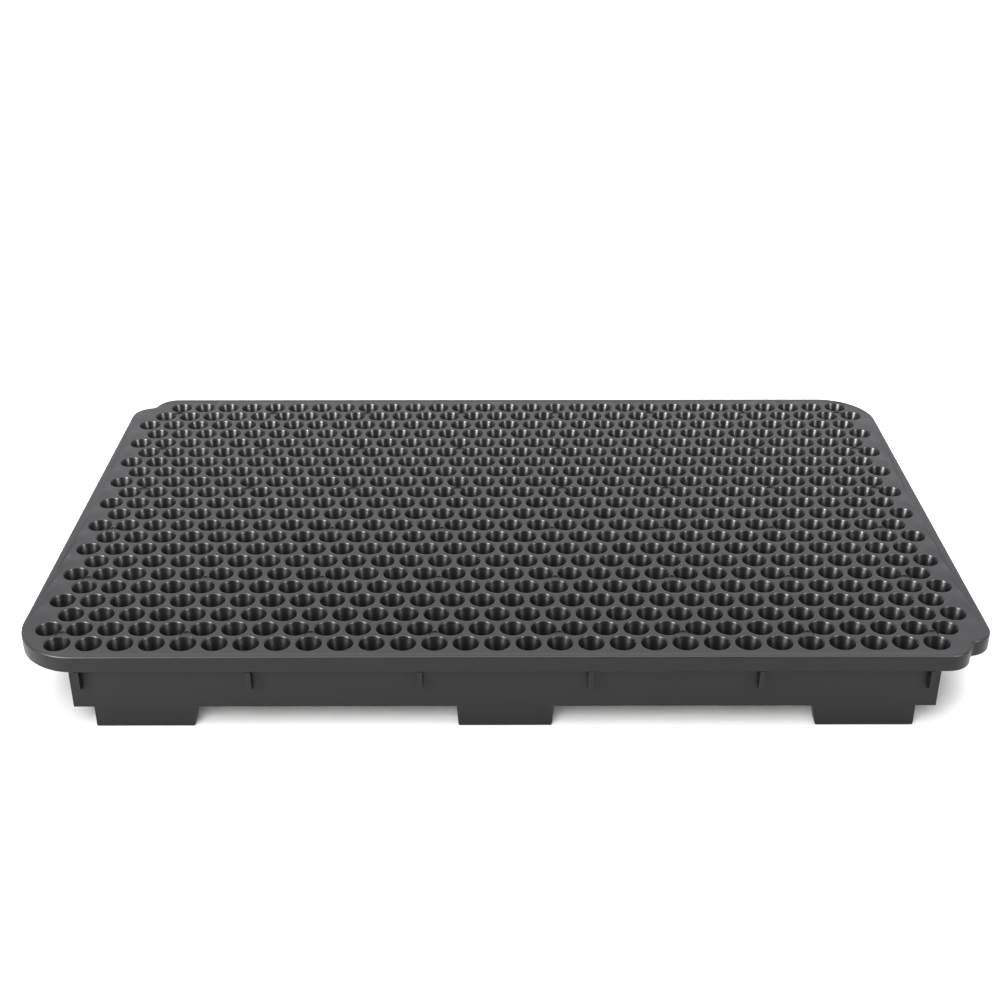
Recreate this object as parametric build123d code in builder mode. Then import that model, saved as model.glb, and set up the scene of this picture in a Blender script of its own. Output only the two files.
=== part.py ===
from build123d import *
from math import isclose, radians, sqrt, tan
import os

# Seedling plug tray, moulded in one piece: a flat deck pierced by tapered cells in a
# staggered grid, a turned-down rim with two notched corners, a skirt frame and six feet.
# Millimetres. X runs along the tray, Y across it, Z up. The origin is on the ground
# under the tray's centre, between the feet.

# The grid of cells
pitch = 19.14
row_pitch = pitch * sqrt(3) / 2
columns = 30
rows = 22
stagger = pitch / 4

# The deck and its rim
tray_length = 600.0
tray_width = 380.0
tray_height = 54.0
deck_thickness = 2.0
rim_height = 11.0
rim_thickness = 2.0
rim_round = 1.2
corner_radius = 40.0
notch_radius = 16.0
notch_inner_radius = 5.0

# One cell: a tapered cup that ends in its drain hole
mouth_radius = 8.2
mouth_chamfer = 0.6
cell_half_angle = 19.0
cell_depth = 17.0
cell_wall = 1.0

# The skirt frame under the deck
skirt_length = 530.0
skirt_width = 370.0
skirt_wall = 2.0
skirt_bottom = 14.5

# The gussets between skirt and rim, and the cross ribs inside the skirt in line with them
gusset_pitch = 103.6
gusset_width = 3.0
gusset_straight_bottom = 31.0
gusset_toe = 27.5
rib_width = 2.0
rib_bottom = 24.0
cell_clearance = 0.05

# The feet
foot_depth = 8.0
foot_wall = 2.0
foot_round = 1.2
end_foot_outer = 252.5
end_foot_inner = 189.4
end_foot_draft = 2.6
centre_foot_half = 29.8
centre_foot_draft = 1.0

deck_bottom = tray_height - deck_thickness
rim_bottom = tray_height - rim_height
taper = tan(radians(cell_half_angle))
cell_bottom = tray_height - cell_depth
half_length = tray_length / 2
half_width = tray_width / 2


def row_y(row):
    """The Y of a row's cell centres; row 0 is at the front."""
    return (row - (rows - 1) / 2) * row_pitch


def row_cells(row):
    """The centres of a row's cells: the rows lie half a pitch apart, and each notched
    corner has no room for its last cell."""
    shift = stagger if row % 2 == 0 else -stagger
    centres = [((column - (columns - 1) / 2) * pitch + shift, row_y(row)) for column in range(columns)]
    if row == 0:
        centres.pop()
    if row == rows - 1:
        centres.pop(0)
    return centres


def cell_radius(depth):
    """The cell's inner radius at a depth below the top of the deck."""
    return mouth_radius - depth * taper


def outer_radius(depth):
    """The cup's outer radius at a depth below the top of the deck."""
    return cell_radius(depth) + cell_wall


def cup_cones(centres, clearance=0.0):
    """The outside of the cups at these centres, as solid cones hanging from the deck."""
    cup_height = deck_bottom - cell_bottom
    with BuildPart() as cones:
        with Locations(*[(x, y, cell_bottom + cup_height / 2) for x, y in centres]):
            Cone(
                bottom_radius=outer_radius(cell_depth) + clearance,
                top_radius=outer_radius(deck_thickness) + clearance,
                height=cup_height,
            )
    return cones.part


# The plan outline: plain round corners front left and back right. Each of the other two
# corners is two round bulges with a scooped notch between them
side_x = half_length - corner_radius
side_y = half_width - corner_radius
notch_x = half_length - 2 * notch_radius
notch_y = half_width - 2 * notch_radius
scoop_x = half_length - notch_radius
scoop_y = half_width - notch_radius
with BuildSketch() as outline:
    with BuildLine():
        for end, turn in ((1, 0), (-1, 180)):
            CenterArc((-end * side_x, -end * side_y), corner_radius, 180 + turn, 90)
            Line((-end * side_x, -end * half_width), (end * notch_x, -end * half_width))
            CenterArc((end * notch_x, -end * scoop_y), notch_radius, 270 + turn, 90)
            CenterArc((end * scoop_x, -end * notch_y), notch_radius, 270 + turn, 90)
            Line((end * half_length, -end * notch_y), (end * half_length, end * side_y))
    make_face()
    in_scoop_column = outline.vertices().filter_by(lambda v: isclose(abs(v.X), scoop_x))
    scoops = in_scoop_column.filter_by(lambda v: isclose(abs(v.Y), scoop_y))
    fillet(scoops, radius=notch_inner_radius)

with BuildSketch() as deck_outline:
    add(outline.sketch)
    offset(amount=-rim_thickness, kind=Kind.ARC, mode=Mode.REPLACE)

# The whole turned-down rim, which is cut into its sides and corners below
with BuildPart() as rim:
    with BuildSketch(Plane.XY.offset(rim_bottom)):
        add(outline.sketch)
        add(deck_outline.sketch, mode=Mode.SUBTRACT)
    extrude(amount=rim_height)
    rim_outer_top = rim.faces().sort_by(Axis.Z)[-1].outer_wire().edges()
    fillet(rim_outer_top, radius=rim_round)


def cell_row(row):
    """One row: its strip of the deck with the row's cups below it."""
    centres = row_cells(row)
    front = row_y(row) - row_pitch / 2 if row > 0 else -half_width
    back = row_y(row) + row_pitch / 2 if row < rows - 1 else half_width
    with BuildPart() as strip:
        with BuildSketch(Plane.XY.offset(deck_bottom)):
            add(deck_outline.sketch)
            with Locations((0, (front + back) / 2)):
                Rectangle(tray_length, back - front, mode=Mode.INTERSECT)
        extrude(amount=deck_thickness)
        add(cup_cones(centres))
        with Locations(*[(x, y, cell_bottom + cell_depth / 2) for x, y in centres]):
            Cone(
                bottom_radius=cell_radius(cell_depth),
                top_radius=mouth_radius,
                height=cell_depth,
                mode=Mode.SUBTRACT,
            )
        with Locations(*[(x, y, tray_height - mouth_chamfer / 2) for x, y in centres]):
            Cone(
                bottom_radius=cell_radius(mouth_chamfer),
                top_radius=mouth_radius + mouth_chamfer,
                height=mouth_chamfer,
                mode=Mode.SUBTRACT,
            )
    return strip.part


def rim_piece(x_range, y_range):
    """The part of the rim inside a rectangle of the plan."""
    with BuildPart() as piece:
        add(rim.part)
        with Locations((sum(x_range) / 2, sum(y_range) / 2, rim_bottom + rim_height / 2)):
            Box(x_range[1] - x_range[0], y_range[1] - y_range[0], rim_height, mode=Mode.INTERSECT)
    return piece.part


def long_wall(side):
    """The skirt's front wall (side -1) or back wall (side 1)."""
    middle = side * (skirt_width - skirt_wall) / 2
    with BuildPart() as wall:
        with BuildSketch(Plane.XY.offset(skirt_bottom)):
            with Locations((0, middle)):
                Rectangle(skirt_length, skirt_wall)
        extrude(amount=deck_bottom - skirt_bottom)
    return wall.part


def wall_across(x, width, bottom, reach):
    """A wall across the tray at x, up to the deck and cut away round the cups."""
    near = [c for row in range(rows) for c in row_cells(row) if abs(c[0] - x) < reach]
    with BuildPart() as wall:
        with BuildSketch(Plane.XY.offset(bottom)):
            with Locations((x, 0)):
                Rectangle(width, skirt_width - 2 * skirt_wall)
        extrude(amount=deck_bottom - bottom)
        add(cup_cones(near, cell_clearance), mode=Mode.SUBTRACT)
    return wall.part


def gusset_row(side):
    """Six gussets on the skirt's front wall (side -1) or back wall (side 1)."""
    skirt_face = skirt_width / 2
    with BuildPart() as gussets:
        for number in range(6):
            x = (number - 2.5) * gusset_pitch
            with BuildSketch(Plane.YZ.offset(x)):
                with BuildLine():
                    Polyline(
                        (side * skirt_face, deck_bottom),
                        (side * (half_width - rim_thickness), deck_bottom),
                        (side * (half_width - rim_thickness), rim_bottom),
                        (side * half_width, rim_bottom),
                        (side * half_width, gusset_straight_bottom),
                        (side * skirt_face, gusset_toe),
                        close=True,
                    )
                make_face()
            extrude(amount=gusset_width / 2, both=True)
    return gussets.part


def foot(left, right, left_draft, right_draft, side):
    """A channel-shaped foot, straight at the skirt and drawn in towards the ground. It is
    flush with the outer face of the skirt's front wall (side -1) or back wall (side 1)."""
    channel_depth = foot_depth - foot_wall
    with BuildPart() as channel:
        with BuildSketch(Plane.XZ) as profile:
            with BuildLine():
                Polyline(
                    (left, skirt_bottom),
                    (right, skirt_bottom),
                    (right - right_draft, 0),
                    (left + left_draft, 0),
                    close=True,
                )
            make_face()
            fillet(profile.vertices().group_by(Axis.Y)[0], radius=foot_round)
        extrude(amount=foot_depth)
        with BuildSketch(Plane.XZ):
            with BuildLine():
                Polyline(
                    (left + foot_wall, skirt_bottom),
                    (right - foot_wall, skirt_bottom),
                    (right - foot_wall - right_draft, 0),
                    (left + foot_wall + left_draft, 0),
                    close=True,
                )
            make_face()
        extrude(amount=channel_depth, mode=Mode.SUBTRACT)
    front = channel.part.moved(Location((0, foot_depth - skirt_width / 2, 0)))
    if side < 0:
        return front
    return front.rotate(Axis.Z, 180)


def save(part, name):
    """Label a finished piece and write it."""
    part.label = name
    export_step(part, f"parts/{name}.step")


os.makedirs("parts", exist_ok=True)

for row in range(rows):
    save(cell_row(row), f"cell_row_{row + 1:02d}")

# The rim's straight sides end where its corners begin
save(rim_piece((-side_x, notch_x), (-half_width, -side_y)), "rim_front")
save(rim_piece((-notch_x, side_x), (side_y, half_width)), "rim_back")
save(rim_piece((-half_length, -side_x), (-side_y, notch_y)), "rim_left")
save(rim_piece((side_x, half_length), (-notch_y, side_y)), "rim_right")
save(rim_piece((-half_length, -side_x), (-half_width, -side_y)), "rim_corner_front_left")
save(rim_piece((side_x, half_length), (side_y, half_width)), "rim_corner_back_right")
save(rim_piece((notch_x, half_length), (-half_width, -notch_y)), "rim_notch_front_right")
save(rim_piece((-half_length, -notch_x), (notch_y, half_width)), "rim_notch_back_left")

save(long_wall(-1), "skirt_front")
save(long_wall(1), "skirt_back")
end_wall_x = (skirt_length - skirt_wall) / 2
cup_reach = outer_radius(0) + skirt_wall
save(wall_across(-end_wall_x, skirt_wall, skirt_bottom, cup_reach), "skirt_left")
save(wall_across(end_wall_x, skirt_wall, skirt_bottom, cup_reach), "skirt_right")

save(gusset_row(-1), "gussets_front")
save(gusset_row(1), "gussets_back")
for number in range(4):
    rib_x = (number - 1.5) * gusset_pitch
    save(wall_across(rib_x, rib_width, rib_bottom, cup_reach), f"cross_rib_{number + 1}")

for side, place in ((-1, "front"), (1, "back")):
    names = ("left", "centre", "right") if side < 0 else ("right", "centre", "left")
    feet = (
        foot(-end_foot_outer, -end_foot_inner, 0, end_foot_draft, side),
        foot(-centre_foot_half, centre_foot_half, centre_foot_draft, centre_foot_draft, side),
        foot(end_foot_inner, end_foot_outer, end_foot_draft, 0, side),
    )
    for name, piece in zip(names, feet):
        save(piece, f"foot_{place}_{name}")
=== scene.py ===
import math

import bmesh
import bpy
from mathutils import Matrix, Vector
from mathutils.geometry import delaunay_2d_cdt
from mathutils.kdtree import KDTree


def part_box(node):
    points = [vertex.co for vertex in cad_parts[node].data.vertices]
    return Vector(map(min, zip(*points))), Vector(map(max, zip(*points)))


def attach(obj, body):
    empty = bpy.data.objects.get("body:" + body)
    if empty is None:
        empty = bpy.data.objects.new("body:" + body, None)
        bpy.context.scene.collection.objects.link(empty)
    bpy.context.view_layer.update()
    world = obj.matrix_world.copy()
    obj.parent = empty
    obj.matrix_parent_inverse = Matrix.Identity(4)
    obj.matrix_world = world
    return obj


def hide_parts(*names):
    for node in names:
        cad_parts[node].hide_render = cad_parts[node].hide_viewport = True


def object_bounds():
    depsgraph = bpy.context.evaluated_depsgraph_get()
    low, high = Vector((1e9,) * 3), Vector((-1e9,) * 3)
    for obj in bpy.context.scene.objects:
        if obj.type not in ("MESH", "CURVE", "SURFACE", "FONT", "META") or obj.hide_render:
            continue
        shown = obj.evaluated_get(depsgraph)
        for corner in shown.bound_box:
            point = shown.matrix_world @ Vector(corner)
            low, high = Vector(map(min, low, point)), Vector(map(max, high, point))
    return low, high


# A moulded seedling plug tray: rows of tapered cells in a deck, a turned-down rim with two
# notched corners, and a skirt frame with gussets on six feet. Metres, in the CAD's frame.

MM = 0.001
WELD_DISTANCE = 0.001 * MM
POINT_DIGITS = 7
SHARP_ANGLE = math.radians(40)
ROWS = 22
COLUMNS = 30

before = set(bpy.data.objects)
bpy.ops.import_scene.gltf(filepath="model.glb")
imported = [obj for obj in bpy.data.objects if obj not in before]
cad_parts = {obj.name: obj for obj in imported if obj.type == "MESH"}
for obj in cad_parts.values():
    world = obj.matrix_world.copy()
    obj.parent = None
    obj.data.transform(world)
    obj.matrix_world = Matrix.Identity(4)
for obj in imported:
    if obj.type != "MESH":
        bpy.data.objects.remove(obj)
cad_low, cad_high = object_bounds()

# Sizes that the frame gives
HALF_LENGTH = cad_high.x
HALF_WIDTH = cad_high.y
DECK_TOP = cad_high.z
DECK_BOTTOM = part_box("skirt_front")[1].z
RIM_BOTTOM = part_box("rim_front")[0].z
CELL_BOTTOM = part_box("cell_row_02")[0].z
ROW_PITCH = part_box("cell_row_03")[0].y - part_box("cell_row_02")[0].y
PITCH = ROW_PITCH * 2 / math.sqrt(3)

# The rim, its round corners, and the notched corners' two bulges with a scoop between them
CORNER_RADIUS = HALF_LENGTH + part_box("rim_corner_front_left")[1].x
NOTCH_RADIUS = (HALF_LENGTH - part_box("rim_notch_front_right")[0].x) / 2
SCOOP_RADIUS = 5.0 * MM
RIM_THICKNESS = 2.0 * MM
RIM_ROUND = 1.2 * MM
RIM_ROUND_STEPS = 6
RIM_FOOT_ROUND = 0.4 * MM
RIM_OVERRUN = 1.0 * MM

# One cell
MOUTH_RADIUS = 8.2 * MM
LIP_REACH = 0.75 * MM
CELL_SLOPE = math.radians(19)
CELL_WALL = 1.0 * MM
WALL_RINGS = (2.0 * MM, 8.0 * MM)
DRAIN_EDGE = 0.4 * MM
TILE_POINTS = 36
TILE_ANGLES = [math.pi / 6 + 2 * math.pi * k / TILE_POINTS for k in range(TILE_POINTS)]
# The sides of a cell's hexagon are counted anticlockwise from the upper right one
LEFT_SIDE = 2
RIGHT_SIDE = 5

# Round marks of the ejector pins, sunk a little into the deck where three cells meet
MARK_RADIUS = 3.7 * MM
MARK_DEPTH = 0.7 * MM
MARK_FORWARD = 1.3 * MM
MARK_SPACING = 4
MARK_STEP = 0.05 * MM
MARK_BAND = 0.4 * MM
MARK_REFINED = MARK_RADIUS + 1.8 * MM
MARK_CUTS = 4

# The deck between the cells lies a little lower than its margin
FIELD_DROP = 0.35 * MM
RISE_START = 11.2 * MM
RISE_LENGTH = 5.5 * MM
EDGE_LEVEL = 2.5 * MM
MARGIN_GRID = 3.0 * MM
MARGIN_CLEARANCE = 1.2 * MM


# ---------------------------------------------------------------- the grid of cells


def row_y(row):
    """The Y of a row's cell centres; row 0 is at the front."""
    return (row - (ROWS - 1) / 2) * ROW_PITCH


def row_cells(row):
    """The centres of a row's cells; the notched corners have no room for one cell each."""
    shift = PITCH / 4 if row % 2 == 0 else -PITCH / 4
    xs = [(column - (COLUMNS - 1) / 2) * PITCH + shift for column in range(COLUMNS)]
    if row == 0:
        xs.pop()
    if row == ROWS - 1:
        xs.pop(0)
    return [(x, row_y(row)) for x in xs]


CELLS = [centre for row in range(ROWS) for centre in row_cells(row)]


def nearest_cell(x, y):
    """The way from the nearest cell's centre to a point."""
    guess = round(y / ROW_PITCH + (ROWS - 1) / 2)
    rows = range(max(guess - 1, 0), min(guess + 2, ROWS))
    near = [(x - cx, y - cy) for row in rows for cx, cy in row_cells(row)]
    return min(near, key=lambda way: math.hypot(*way))


def in_tile(x, y):
    """Whether a point is inside the hexagon round a cell."""
    way = nearest_cell(x, y)
    across = [way[0] * math.cos(a) + way[1] * math.sin(a) for a in (0, math.pi / 3, 2 * math.pi / 3)]
    return max(abs(d) for d in across) < PITCH / 2


def smooth_step(share):
    """A smooth rise from 0 to 1 as the share goes from 0 to 1."""
    share = min(max(share, 0.0), 1.0)
    return share * share * (3 - 2 * share)


# ---------------------------------------------------------------- meshes


def new_piece(name, mesh, replaced=()):
    """Put a finished mesh into the scene as a piece on the tray's one body."""
    piece = bpy.data.objects.new(name, mesh)
    bpy.context.scene.collection.objects.link(piece)
    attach(piece, "root")
    if replaced:
        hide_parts(*replaced)
    return piece


def build_mesh(name, vertices, faces, shape=None):
    """A smooth-shaded mesh whose doubled points are welded and whose hard corners stay sharp.
    The function shape, if there is one, works on the welded mesh."""
    bm = bmesh.new()
    points = [bm.verts.new(v) for v in vertices]
    for face in faces:
        bm.faces.new([points[i] for i in face])
    bmesh.ops.remove_doubles(bm, verts=bm.verts, dist=WELD_DISTANCE)
    bmesh.ops.recalc_face_normals(bm, faces=bm.faces)
    if shape:
        shape(bm)
    mesh = bpy.data.meshes.new(name)
    bm.to_mesh(mesh)
    bm.free()
    mesh.shade_smooth()
    mesh.set_sharp_from_angle(angle=SHARP_ANGLE)
    return mesh


# The rounded lip meets the flat deck and the cell's wall at a tangent
LIP_TURN = math.pi / 2 - CELL_SLOPE
LIP_ROUND = LIP_REACH / math.tan(LIP_TURN / 2)
LIP_STEPS = 6
FIELD_TOP = DECK_TOP - FIELD_DROP


def cell_profile():
    """The (radius, height) of a cell's rings, from the lip down its wall, round its end and
    up its outside to the deck."""
    lip_radius = MOUTH_RADIUS + LIP_REACH
    rings = []
    for step in range(LIP_STEPS + 1):
        turn = LIP_TURN * step / LIP_STEPS
        height = FIELD_TOP - LIP_ROUND * (1 - math.cos(turn))
        rings.append((lip_radius - LIP_ROUND * math.sin(turn), height))
    slope = math.tan(CELL_SLOPE)
    cell_depth = DECK_TOP - CELL_BOTTOM
    for depth in (*WALL_RINGS, cell_depth - DRAIN_EDGE, cell_depth):
        rings.append((MOUTH_RADIUS - (depth - FIELD_DROP) * slope, DECK_TOP - depth))
    drain = rings[-1][0]
    rings.append((drain + CELL_WALL, CELL_BOTTOM))
    rings.append((drain + CELL_WALL + (DECK_BOTTOM - CELL_BOTTOM) * slope, DECK_BOTTOM))
    return rings


def tile_rim(centre):
    """The points of the hexagon round a cell, one for each ray of its rings."""
    points = []
    for angle in TILE_ANGLES:
        from_side = (angle + math.pi / 6) % (math.pi / 3) - math.pi / 6
        reach = PITCH / 2 / math.cos(from_side)
        points.append((centre[0] + reach * math.cos(angle), centre[1] + reach * math.sin(angle)))
    return points


def mark_centres():
    """The ejector marks: three rows in the front half, and three in the back half that lie
    half a cell further to the right. Each is just in front of a corner of three hexagons."""
    centres = []
    for row in range(0, ROWS, MARK_SPACING):
        in_front = row < ROWS // 2
        y = row_y(row + (2 / 3 if in_front else 1 / 3)) - MARK_FORWARD
        start = (0.75 if in_front else 1.25) - COLUMNS / 2
        for column in range(0, COLUMNS, MARK_SPACING):
            centres.append(((start + column) * PITCH, y))
    return centres


mark_places = mark_centres()
MARKS = KDTree(len(mark_places))
for number, centre in enumerate(mark_places):
    MARKS.insert((*centre, 0), number)
MARKS.balance()


def lip_height(radius):
    """The height of the deck and its lips at a distance from a cell's centre."""
    into_lip = min(max(MOUTH_RADIUS + LIP_REACH - radius, 0), LIP_ROUND)
    return FIELD_TOP - LIP_ROUND + math.sqrt(LIP_ROUND**2 - into_lip**2)


def sink_marks(bm):
    """Refine the deck round each ejector mark, and sink the mark's disc with a steep edge."""
    lip_end = cell_profile()[LIP_STEPS][1] - 10 * WELD_DISTANCE

    def near_mark(point, reach):
        if point.z < lip_end:
            return None
        centre, _, distance = MARKS.find((point.x, point.y, 0))
        if distance > reach:
            return None
        return centre.xy, point.xy - centre.xy

    edges = [e for e in bm.edges if all(near_mark(v.co, MARK_REFINED) for v in e.verts)]
    bmesh.ops.subdivide_edges(bm, edges=edges, cuts=MARK_CUTS, use_grid_fill=True)
    for vertex in bm.verts:
        found = near_mark(vertex.co, MARK_RADIUS + MARK_BAND)
        if not found:
            continue
        centre, away = found
        distance = away.length
        if distance > MARK_RADIUS:
            distance = MARK_RADIUS
        elif distance > MARK_RADIUS - MARK_BAND:
            distance = MARK_RADIUS - MARK_STEP
        moved = centre + away.normalized() * distance
        height = lip_height(math.hypot(*nearest_cell(moved.x, moved.y)))
        if distance < MARK_RADIUS:
            height = min(height, FIELD_TOP - MARK_DEPTH)
        vertex.co = (moved.x, moved.y, height)
    bmesh.ops.dissolve_degenerate(bm, dist=2 * WELD_DISTANCE, edges=bm.edges)


def cell_row_mesh(row):
    """A row of hexagonal pieces of deck, each with its cell hanging from it."""
    profile = cell_profile()
    centres = row_cells(row)
    vertices, faces = [], []
    side_points = TILE_POINTS // 6
    for number, centre in enumerate(centres):
        first = len(vertices)
        rim = tile_rim(centre)
        vertices += [(x, y, FIELD_TOP) for x, y in rim]
        for radius, height in profile:
            for angle in TILE_ANGLES:
                x = centre[0] + radius * math.cos(angle)
                y = centre[1] + radius * math.sin(angle)
                vertices.append((x, y, height))
        vertices += [(x, y, DECK_BOTTOM) for x, y in rim]
        rings = len(profile) + 2
        for k in range(TILE_POINTS):
            after = (k + 1) % TILE_POINTS
            for ring in range(rings - 1):
                low, high = first + ring * TILE_POINTS, first + (ring + 1) * TILE_POINTS
                faces.append((low + k, low + after, high + after, high + k))
            to_right = k // side_points == RIGHT_SIDE and number < len(centres) - 1
            to_left = k // side_points == LEFT_SIDE and number > 0
            if not to_right and not to_left:
                low = first + (rings - 1) * TILE_POINTS
                faces.append((first + k, low + k, low + after, first + after))
    return build_mesh(f"cells_{row + 1:02d}", vertices, faces, sink_marks)


# ---------------------------------------------------------------- the plan outline

ARC_STEP = math.radians(4)


def arc(centre, radius, start, end, outward=1):
    """An arc's points with the tray's outward normals: away from the centre, or towards it
    in a scoop (outward -1). Angles in radians, from X towards Y."""
    steps = max(2, round(abs(end - start) / ARC_STEP))
    stations = []
    for step in range(steps + 1):
        angle = start + (end - start) * step / steps
        ray = Vector((math.cos(angle), math.sin(angle)))
        stations.append((Vector(centre) + radius * ray, outward * ray))
    return stations


def half_turn(run):
    """The same stations at the tray's opposite corner."""
    return [(-point, -normal) for point, normal in run]


def notched_corner():
    """The front right corner: a bulge, a scoop that meets both bulges at a tangent, a bulge."""
    near = Vector((HALF_LENGTH - 2 * NOTCH_RADIUS, -HALF_WIDTH + NOTCH_RADIUS))
    far = Vector((HALF_LENGTH - NOTCH_RADIUS, -HALF_WIDTH + 2 * NOTCH_RADIUS))
    half_gap = (far - near).length / 2
    out = math.sqrt((NOTCH_RADIUS + SCOOP_RADIUS) ** 2 - half_gap**2)
    scoop = (near + far) / 2 + Vector((1, -1)).normalized() * out
    near_turn = math.atan2(scoop.y - near.y, scoop.x - near.x)
    far_turn = math.atan2(scoop.y - far.y, scoop.x - far.x)
    return (
        arc(near, NOTCH_RADIUS, -math.pi / 2, near_turn)
        + arc(scoop, SCOOP_RADIUS, near_turn + math.pi, far_turn + math.pi, -1)[1:-1]
        + arc(far, NOTCH_RADIUS, far_turn, 0)
    )


def round_corner():
    """The front left corner."""
    centre = (-HALF_LENGTH + CORNER_RADIUS, -HALF_WIDTH + CORNER_RADIUS)
    return arc(centre, CORNER_RADIUS, math.pi, math.pi * 3 / 2)


# The corners anticlockwise from the front left
CORNERS = [round_corner(), notched_corner(), half_turn(round_corner()), half_turn(notched_corner())]
DECK_EDGE = [point - normal * RIM_THICKNESS for run in CORNERS for point, normal in run]


# ---------------------------------------------------------------- the rim


def rim_profile():
    """The rim's section as (distance inside the outline, height), once round."""
    points = [(RIM_FOOT_ROUND, RIM_BOTTOM), (0.0, RIM_BOTTOM + RIM_FOOT_ROUND)]
    for step in range(RIM_ROUND_STEPS + 1):
        angle = math.pi / 2 * step / RIM_ROUND_STEPS
        inset = RIM_ROUND * (1 - math.cos(angle))
        points.append((inset, DECK_TOP - RIM_ROUND * (1 - math.sin(angle))))
    points.append((RIM_THICKNESS, DECK_TOP))
    points.append((RIM_THICKNESS, RIM_BOTTOM + RIM_FOOT_ROUND))
    points.append((RIM_THICKNESS - RIM_FOOT_ROUND, RIM_BOTTOM))
    return points


def sweep(name, path, profile):
    """A closed bar with this section along an open path of (point, outward normal)."""
    vertices, faces = [], []
    count = len(profile)
    for point, normal in path:
        for inset, height in profile:
            at = point - normal * inset
            vertices.append((at.x, at.y, height))
    for station in range(len(path) - 1):
        for k in range(count):
            after = (k + 1) % count
            low, high = station * count, (station + 1) * count
            faces.append((low + k, low + after, high + after, high + k))
    faces.append(tuple(range(count)))
    faces.append(tuple((len(path) - 1) * count + k for k in range(count)))
    return build_mesh(name, vertices, faces)


def rim_pieces():
    """The rim as its four corners and the four straight sides between them. Each corner runs
    on a little along both sides."""
    profile = rim_profile()
    corner_names = ("corner_front_left", "notch_front_right", "corner_back_right", "notch_back_left")
    side_names = ("front", "right", "back", "left")
    paths = []
    for run in CORNERS:
        first_way = Vector((-run[0][1].y, run[0][1].x))
        last_way = Vector((-run[-1][1].y, run[-1][1].x))
        before = (run[0][0] - first_way * RIM_OVERRUN, run[0][1])
        after = (run[-1][0] + last_way * RIM_OVERRUN, run[-1][1])
        paths.append([before, *run, after])
    pieces = []
    for number, (corner, side) in enumerate(zip(corner_names, side_names)):
        straight = [paths[number][-1], paths[(number + 1) % len(paths)][0]]
        for section, path in ((corner, paths[number]), (side, straight)):
            name = f"rim_shell_{section}"
            pieces.append(new_piece(name, sweep(name, path, profile), [f"rim_{section}"]))
    return pieces


# ---------------------------------------------------------------- the deck's margin


def edge_distance(x, y):
    """The distance from a point inside to the deck's edge."""
    best = math.inf
    here = Vector((x, y))
    for number, start in enumerate(DECK_EDGE):
        end = DECK_EDGE[(number + 1) % len(DECK_EDGE)]
        along = end - start
        share = min(max((here - start).dot(along) / along.length_squared, 0), 1)
        best = min(best, (here - start - along * share).length)
    return best


def inside_edge(x, y):
    """Whether a point is inside the deck's edge."""
    inside = False
    for number, a in enumerate(DECK_EDGE):
        b = DECK_EDGE[(number + 1) % len(DECK_EDGE)]
        if (a.y > y) != (b.y > y) and x < a.x + (y - a.y) * (b.x - a.x) / (b.y - a.y):
            inside = not inside
    return inside


def margin_height(x, y):
    """The margin rises smoothly from the deck between the cells to the rim's level."""
    from_cell = math.hypot(*nearest_cell(x, y))
    rise = smooth_step((from_cell - RISE_START) / RISE_LENGTH)
    if from_cell > RISE_START:
        rise = max(rise, smooth_step(1 - edge_distance(x, y) / EDGE_LEVEL))
    return FIELD_TOP + FIELD_DROP * rise


def field_border():
    """The edges of the outermost hexagons that no other hexagon shares."""
    count = {}
    for centre in CELLS:
        rim = [(round(x, POINT_DIGITS), round(y, POINT_DIGITS)) for x, y in tile_rim(centre)]
        for k, point in enumerate(rim):
            edge = frozenset((point, rim[(k + 1) % TILE_POINTS]))
            count[edge] = count.get(edge, 0) + 1
    return [tuple(edge) for edge, times in count.items() if times == 1]


def margin_grid():
    """Points inside the margin, clear of the hexagons and of the deck's edge."""
    points = []
    for i in range(int(2 * HALF_LENGTH / MARGIN_GRID) + 1):
        for j in range(int(2 * HALF_WIDTH / MARGIN_GRID) + 1):
            x = -HALF_LENGTH + i * MARGIN_GRID
            y = -HALF_WIDTH + j * MARGIN_GRID
            from_cell = math.hypot(*nearest_cell(x, y))
            if from_cell > PITCH / math.sqrt(3) + MARGIN_CLEARANCE and inside_edge(x, y):
                if edge_distance(x, y) > MARGIN_CLEARANCE:
                    points.append(Vector((x, y)))
    return points


def margin_plan():
    """The margin's points and triangles, between the outermost hexagons and the rim."""
    border = field_border()
    points, index = [], {}
    for edge in border:
        for point in edge:
            if point not in index:
                index[point] = len(points)
                points.append(Vector(point))
    edges = [(index[a], index[b]) for a, b in border]
    first = len(points)
    points += DECK_EDGE
    edges += [(first + k, first + (k + 1) % len(DECK_EDGE)) for k in range(len(DECK_EDGE))]
    points += margin_grid()
    found, _, triangles, _, _, _ = delaunay_2d_cdt(points, edges, [], 0, WELD_DISTANCE / 10)
    kept = []
    for triangle in triangles:
        x = sum(found[k].x for k in triangle) / 3
        y = sum(found[k].y for k in triangle) / 3
        if inside_edge(x, y) and not in_tile(x, y):
            kept.append(tuple(triangle))
    return found, kept


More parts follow.
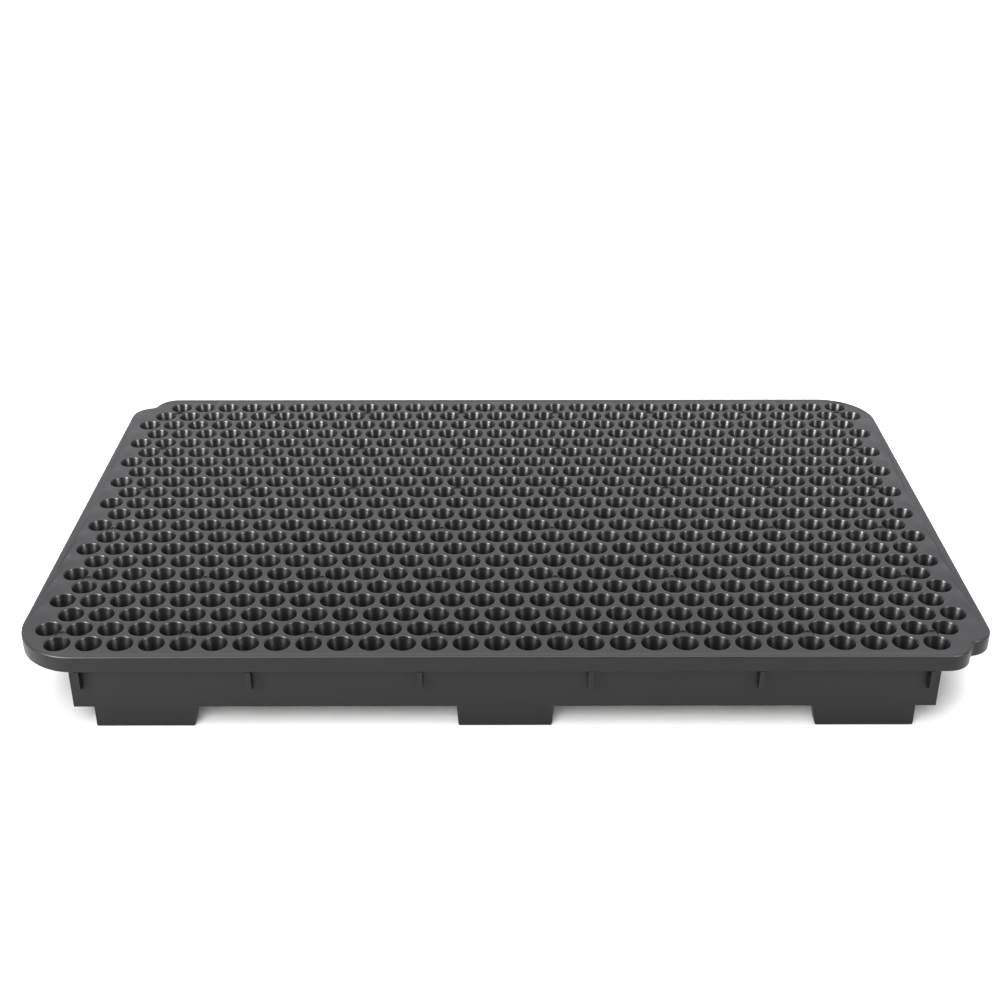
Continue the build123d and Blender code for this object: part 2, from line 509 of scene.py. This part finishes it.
def margin_mesh():
    """The margin as a closed plate: its top, its underside and the walls along its edges."""
    plan, triangles = margin_plan()
    count = len(plan)
    vertices = [(p.x, p.y, margin_height(p.x, p.y)) for p in plan]
    vertices += [(p.x, p.y, DECK_BOTTOM) for p in plan]
    faces = list(triangles)
    faces += [tuple(count + k for k in reversed(triangle)) for triangle in triangles]
    open_edges = {}
    for triangle in triangles:
        for k in range(3):
            a, b = triangle[k], triangle[(k + 1) % 3]
            open_edges[frozenset((a, b))] = None if frozenset((a, b)) in open_edges else (a, b)
    for edge in open_edges.values():
        if edge is not None:
            a, b = edge
            faces.append((b, a, count + a, count + b))
    used = {k for face in faces for k in face}
    place = {k: n for n, k in enumerate(sorted(used))}
    vertices = [vertices[k] for k in sorted(used)]
    faces = [tuple(place[k] for k in face) for face in faces]
    return build_mesh("deck_margin", vertices, faces)


# ---------------------------------------------------------------- materials


def node(tree, kind, **settings):
    """Add a shader node and set its properties and constant inputs."""
    made = tree.nodes.new(kind)
    for name, value in settings.items():
        if name.startswith("in_"):
            made.inputs[name[3:].replace("_", " ")].default_value = value
        else:
            setattr(made, name, value)
    return made


ROUGHNESS_SPREAD = 0.06
DARK_PATCH = (0.86, 0.86, 0.93)
LIGHT_PATCH = (1.12, 1.12, 1.2)


def plastic(name, tone, roughness, ior, grain, wave):
    """Black moulded plastic: a fine grain and a soft waviness in its surface, and patches of
    slightly different gloss and tone where the melt flowed."""
    material = bpy.data.materials.new(name)
    material.use_nodes = True
    tree = material.node_tree
    link = tree.links.new
    shader = tree.nodes["Principled BSDF"]
    shader.inputs["IOR"].default_value = ior
    place = node(tree, "ShaderNodeTexCoord").outputs["Object"]

    patches = node(tree, "ShaderNodeTexNoise", in_Scale=28.0, in_Detail=3.0)
    link(place, patches.inputs["Vector"])
    colour = node(tree, "ShaderNodeMix", data_type="RGBA")
    colour.inputs["A"].default_value = (*(tone * share for share in DARK_PATCH), 1)
    colour.inputs["B"].default_value = (*(tone * share for share in LIGHT_PATCH), 1)
    link(patches.outputs["Fac"], colour.inputs["Factor"])
    link(colour.outputs["Result"], shader.inputs["Base Color"])

    gloss = node(tree, "ShaderNodeMapRange")
    gloss.inputs["To Min"].default_value = roughness - ROUGHNESS_SPREAD
    gloss.inputs["To Max"].default_value = roughness + ROUGHNESS_SPREAD
    streaks = node(tree, "ShaderNodeTexNoise", in_Scale=90.0, in_Detail=2.0)
    link(place, streaks.inputs["Vector"])
    link(streaks.outputs["Fac"], gloss.inputs["Value"])
    link(gloss.outputs["Result"], shader.inputs["Roughness"])

    fine = node(tree, "ShaderNodeTexNoise", in_Scale=2600.0, in_Detail=2.0)
    link(place, fine.inputs["Vector"])
    fine_bump = node(tree, "ShaderNodeBump", in_Strength=grain, in_Distance=0.05 * MM)
    link(fine.outputs["Fac"], fine_bump.inputs["Height"])
    broad = node(tree, "ShaderNodeTexNoise", in_Scale=45.0, in_Detail=1.0)
    link(place, broad.inputs["Vector"])
    broad_bump = node(tree, "ShaderNodeBump", in_Strength=wave, in_Distance=1.0 * MM)
    link(broad.outputs["Fac"], broad_bump.inputs["Height"])
    link(fine_bump.outputs["Normal"], broad_bump.inputs["Normal"])
    link(broad_bump.outputs["Normal"], shader.inputs["Normal"])
    return material


def dress(piece, material):
    """Give every face of an object one material."""
    piece.data.materials.clear()
    piece.data.materials.append(material)


# ---------------------------------------------------------------- the tray

satin = plastic("satin_black_plastic", 0.002, 0.42, 1.34, 0.3, 0.1)
# The smooth plastic's base tone, half the satin's, is painted shade that darkens the insides of the
# cells
glossy_with_painted_shade = plastic("smooth_black_plastic_painted_shade", 0.001, 0.3, 1.46, 0.03, 0.06)

# The deck, its marks and the lips are satin; the cups' walls are smoother, and their darker tone is
# painted shade inside the cells
SATIN_DEPTH = 0.6 * MM
LEVEL_NORMAL = 0.95
for row in range(ROWS):
    cells = new_piece(f"cells_{row + 1:02d}", cell_row_mesh(row), [f"cell_row_{row + 1:02d}"])
    dress(cells, satin)
    cells.data.materials.append(glossy_with_painted_shade)
    for face in cells.data.polygons:
        if face.normal.z < LEVEL_NORMAL and face.center.z < FIELD_TOP - SATIN_DEPTH:
            face.material_index = 1

dress(new_piece("deck_margin", margin_mesh()), satin)
for piece in rim_pieces():
    dress(piece, satin)
for cad_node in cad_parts.values():
    if not cad_node.hide_render:
        dress(cad_node, satin)


# ---------------------------------------------------------------- the studio


def plain_material(name, colour, roughness):
    """A material of one colour, for the floor."""
    material = bpy.data.materials.new(name)
    material.use_nodes = True
    shader = material.node_tree.nodes["Principled BSDF"]
    shader.inputs["Base Color"].default_value = (*colour, 1)
    shader.inputs["Roughness"].default_value = roughness
    return material


FLOOR_REACH = 12.0
FLOOR_COLOUR = (0.58, 0.575, 0.56)
FLOOR_ROUGHNESS = 0.7


def add_floor():
    """A wide pale floor under the feet."""
    turns = ((-1, -1), (1, -1), (1, 1), (-1, 1))
    corners = [(x * FLOOR_REACH, y * FLOOR_REACH, 0) for x, y in turns]
    mesh = bpy.data.meshes.new("floor")
    mesh.from_pydata(corners, [], [(0, 1, 2, 3)])
    floor = bpy.data.objects.new("floor", mesh)
    bpy.context.scene.collection.objects.link(floor)
    floor.data.materials.append(plain_material("pale_floor", FLOOR_COLOUR, FLOOR_ROUGHNESS))
    return floor


SOFTBOX_DISTANCE = 1.8


def add_softbox(name, azimuth, elevation, width, height, flux, lit):
    """A rectangular softbox of even brightness that faces the tray and lights these objects.
    Its azimuth is counted from the front towards +X, and its flux is its radiance times its
    solid angle."""
    around, up = math.radians(azimuth), math.radians(elevation)
    way = Vector((math.sin(around) * math.cos(up), -math.cos(around) * math.cos(up), math.sin(up)))
    light = bpy.data.lights.new(name, "AREA")
    light.shape = "RECTANGLE"
    light.size = width
    light.size_y = height
    light.energy = flux * math.pi * SOFTBOX_DISTANCE**2
    softbox = bpy.data.objects.new(name, light)
    softbox.location = Vector((0, 0, DECK_TOP)) + way * SOFTBOX_DISTANCE
    softbox.rotation_euler = (-way).to_track_quat("-Z", "Y").to_euler()
    softbox.visible_camera = False
    receivers = bpy.data.collections.new(f"lit_by_{name}")
    for receiver in lit:
        receivers.objects.link(receiver)
    softbox.light_linking.receiver_collection = receivers
    bpy.context.scene.collection.objects.link(softbox)


# A direction in the room, and the (nearness to it, brightness) where its light starts and ends
ROOM_BACK = ((0.0, 0.87, 0.5), (-0.3, 0.3), (0.75, 2.0))
ROOM_ZENITH = ((0.0, 0.0, 1.0), (0.84, 0.0), (0.96, 7.2))
ROOM_COLOUR = (0.95, 0.955, 1.0)


def add_world():
    """A white room: dim in front of the tray, bright behind it, and brightest overhead."""
    world = bpy.data.worlds.new("studio")
    bpy.context.scene.world = world
    world.use_nodes = True
    tree = world.node_tree
    link = tree.links.new
    room = tree.nodes["Background"]
    room.inputs["Color"].default_value = (*ROOM_COLOUR, 1)
    direction = node(tree, "ShaderNodeTexCoord").outputs["Generated"]
    shares = []
    for towards, dim, bright in (ROOM_BACK, ROOM_ZENITH):
        nearness = node(tree, "ShaderNodeVectorMath", operation="DOT_PRODUCT")
        nearness.inputs[1].default_value = towards
        link(direction, nearness.inputs[0])
        share = node(tree, "ShaderNodeMapRange", interpolation_type="SMOOTHSTEP")
        share.inputs["From Min"].default_value, share.inputs["To Min"].default_value = dim
        share.inputs["From Max"].default_value, share.inputs["To Max"].default_value = bright
        link(nearness.outputs["Value"], share.inputs["Value"])
        shares.append(share)
    strength = node(tree, "ShaderNodeMath", operation="ADD")
    for share, socket in zip(shares, strength.inputs):
        link(share.outputs["Result"], socket)
    link(strength.outputs["Value"], room.inputs["Strength"])


# The camera's place from the middle of the deck, its angle below the horizon, and its turn
CAMERA_PLACE = Vector((-5.2 * MM, -913.8 * MM, 489.7 * MM))
CAMERA_DIP = math.radians(27.9)
CAMERA_TURN = math.radians(-0.16)
CAMERA_LENS = 52.2


def add_camera():
    """A camera in front of the tray and above it, looking down at it."""
    data = bpy.data.cameras.new("camera")
    data.lens = CAMERA_LENS
    camera = bpy.data.objects.new("camera", data)
    camera.location = Vector((0, 0, DECK_TOP)) + CAMERA_PLACE
    camera.rotation_euler = (math.pi / 2 - CAMERA_DIP, 0, CAMERA_TURN)
    bpy.context.scene.collection.objects.link(camera)
    bpy.context.scene.camera = camera


# The side softboxes light only the tray and the fill lights only the floor, so that the
# floor stays even
tray = [piece for piece in bpy.data.objects if piece.type == "MESH" and not piece.hide_render]
floor = add_floor()
add_world()
add_softbox("left_softbox", -50, 30, 0.3, 1.1, 11.0, tray)
add_softbox("right_softbox", 50, 30, 0.3, 1.1, 4.8, tray)
add_softbox("floor_fill", -15, 38, 1.2, 1.0, 4.7, [floor])
add_camera()
bpy.context.scene.view_settings.view_transform = "Standard"
